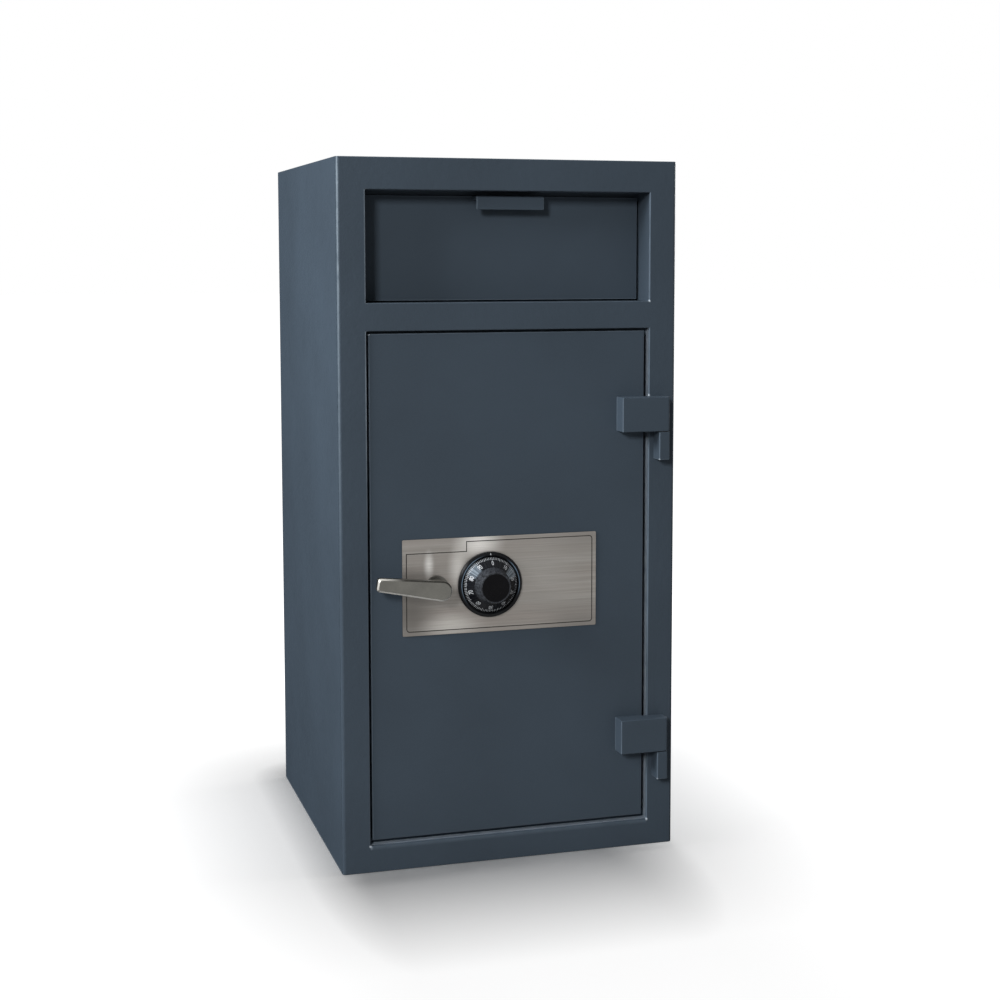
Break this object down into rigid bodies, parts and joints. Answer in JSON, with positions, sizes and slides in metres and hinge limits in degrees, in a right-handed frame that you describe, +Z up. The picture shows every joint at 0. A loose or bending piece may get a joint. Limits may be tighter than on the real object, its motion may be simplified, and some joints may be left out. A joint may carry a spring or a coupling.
{
  "type": "deposit safe",
  "caption": "Steel deposit safe: welded body, tilting deposit hopper over a hinged door with combination dial, lever handle and sliding locking bolts.",
  "frame": {"origin": "on the floor, under the middle of the body", "axes": "+Z up, -Y out of the front, +X to the right as seen from the front"},
  "size_m": [0.508, 0.544, 1.029],
  "materials": {
    "safe_paint": "fine textured blue-grey enamel",
    "steel": "bare machined steel",
    "bolt_chrome": "polished plating",
    "satin_plate": "brushed from side to side",
    "handle_satin": "satin cast",
    "black_steel": "black oxide",
    "dial_black": "semi-gloss black",
    "dial_ink": "white filling of the dial's marks",
    "brass": "machined",
    "lock_alloy": "die cast"
  },
  "bodies": {
    "safe_body": {"front_frame": "safe_paint", "left_side_panel": "safe_paint", "right_side_panel": "safe_paint", "top_panel": "safe_paint", "base_panel": "safe_paint", "back_panel": "safe_paint", "door_jamb": "safe_paint", "door_stops": "safe_paint", "recess_sides": "safe_paint", "recess_ceiling": "safe_paint", "recess_sill": "safe_paint", "fishing_baffle": "safe_paint", "hopper_stops": "safe_paint", "hopper_pivot_rod": "steel", "hopper_spacers": "steel", "rod_clips": "steel", "hinge_knuckles": "safe_paint", "hinge_pins": "steel", "hinge_washers": "steel"},
    "door": {"door_plate": "safe_paint", "hinge_blocks": "safe_paint", "dead_bar": "steel", "hard_plate": "steel", "escutcheon_plate": "satin_plate", "dial_ring": "dial_black", "spindle_tube": "brass", "lock_case": "lock_alloy", "lock_cover": "lock_alloy", "lock_screws": "steel", "wheel_post": "brass", "wheel_spacers": "brass", "bolt_guide": "safe_paint", "guide_studs": "steel", "cover_posts": "steel", "boltwork_cover": "safe_paint", "cover_screws": "black_steel", "handle_bushing": "satin_plate", "bushing_nut": "steel"},
    "boltwork": {"bolt_carrier": "steel", "locking_bolts": "bolt_chrome", "bolt_screws": "black_steel"},
    "handle": {"handle_lever": "handle_satin", "handle_set_screw": "black_steel", "handle_spindle": "steel", "handle_cam": "steel", "cam_screw": "black_steel"},
    "dial": {"number_dial": "dial_black", "dial_knob": "dial_black", "dial_cap": "dial_black", "dial_spindle": "steel", "drive_cam": "brass"},
    "wheel_1": {"wheel_1": "brass"},
    "wheel_2": {"wheel_2": "brass"},
    "wheel_3": {"wheel_3": "brass"},
    "lock_bolt": {"lock_bolt": "brass", "lock_lever": "steel"},
    "hopper": {"hopper_door": "safe_paint", "pull_lip": "safe_paint", "hopper_cheeks": "safe_paint", "hopper_tray": "safe_paint"}
  },
  "joints": [
    {"name": "door_swing", "type": "hinge", "parent": "safe_body", "child": "door", "pos_m": [0.22875, -0.267, 0.4], "axis": [0, 0, 1], "range_deg": [0, 110]},
    {"name": "handle_turn", "type": "hinge", "parent": "door", "child": "handle", "pos_m": [-0.113, -0.25, 0.4145], "axis": [0, 1, 0], "range_deg": [0, 75]},
    {"name": "bolt_throw", "type": "slide", "parent": "door", "child": "boltwork", "axis": [-1, 0, 0], "range_m": [0, 0.025]},
    {"name": "dial_spin", "type": "hinge", "parent": "door", "child": "dial", "pos_m": [-0.033, -0.26, 0.4145], "axis": [0, 1, 0], "continuous": true},
    {"name": "wheel_1_spin", "type": "hinge", "parent": "door", "child": "wheel_1", "pos_m": [-0.033, -0.214, 0.4145], "axis": [0, 1, 0], "continuous": true},
    {"name": "wheel_2_spin", "type": "hinge", "parent": "door", "child": "wheel_2", "pos_m": [-0.033, -0.218, 0.4145], "axis": [0, 1, 0], "continuous": true},
    {"name": "wheel_3_spin", "type": "hinge", "parent": "door", "child": "wheel_3", "pos_m": [-0.033, -0.222, 0.4145], "axis": [0, 1, 0], "continuous": true},
    {"name": "lock_bolt_slide", "type": "slide", "parent": "door", "child": "lock_bolt", "axis": [-1, 0, 0], "range_m": [0, 0.01]},
    {"name": "hopper_tilt", "type": "hinge", "parent": "safe_body", "child": "hopper", "pos_m": [0, -0.196, 0.838], "axis": [1, 0, 0], "range_deg": [0, 42]}
  ],
  "couplings": [
    {"joint": "bolt_throw", "follows": "handle_turn", "m_per_rad": 0.019}
  ]
}
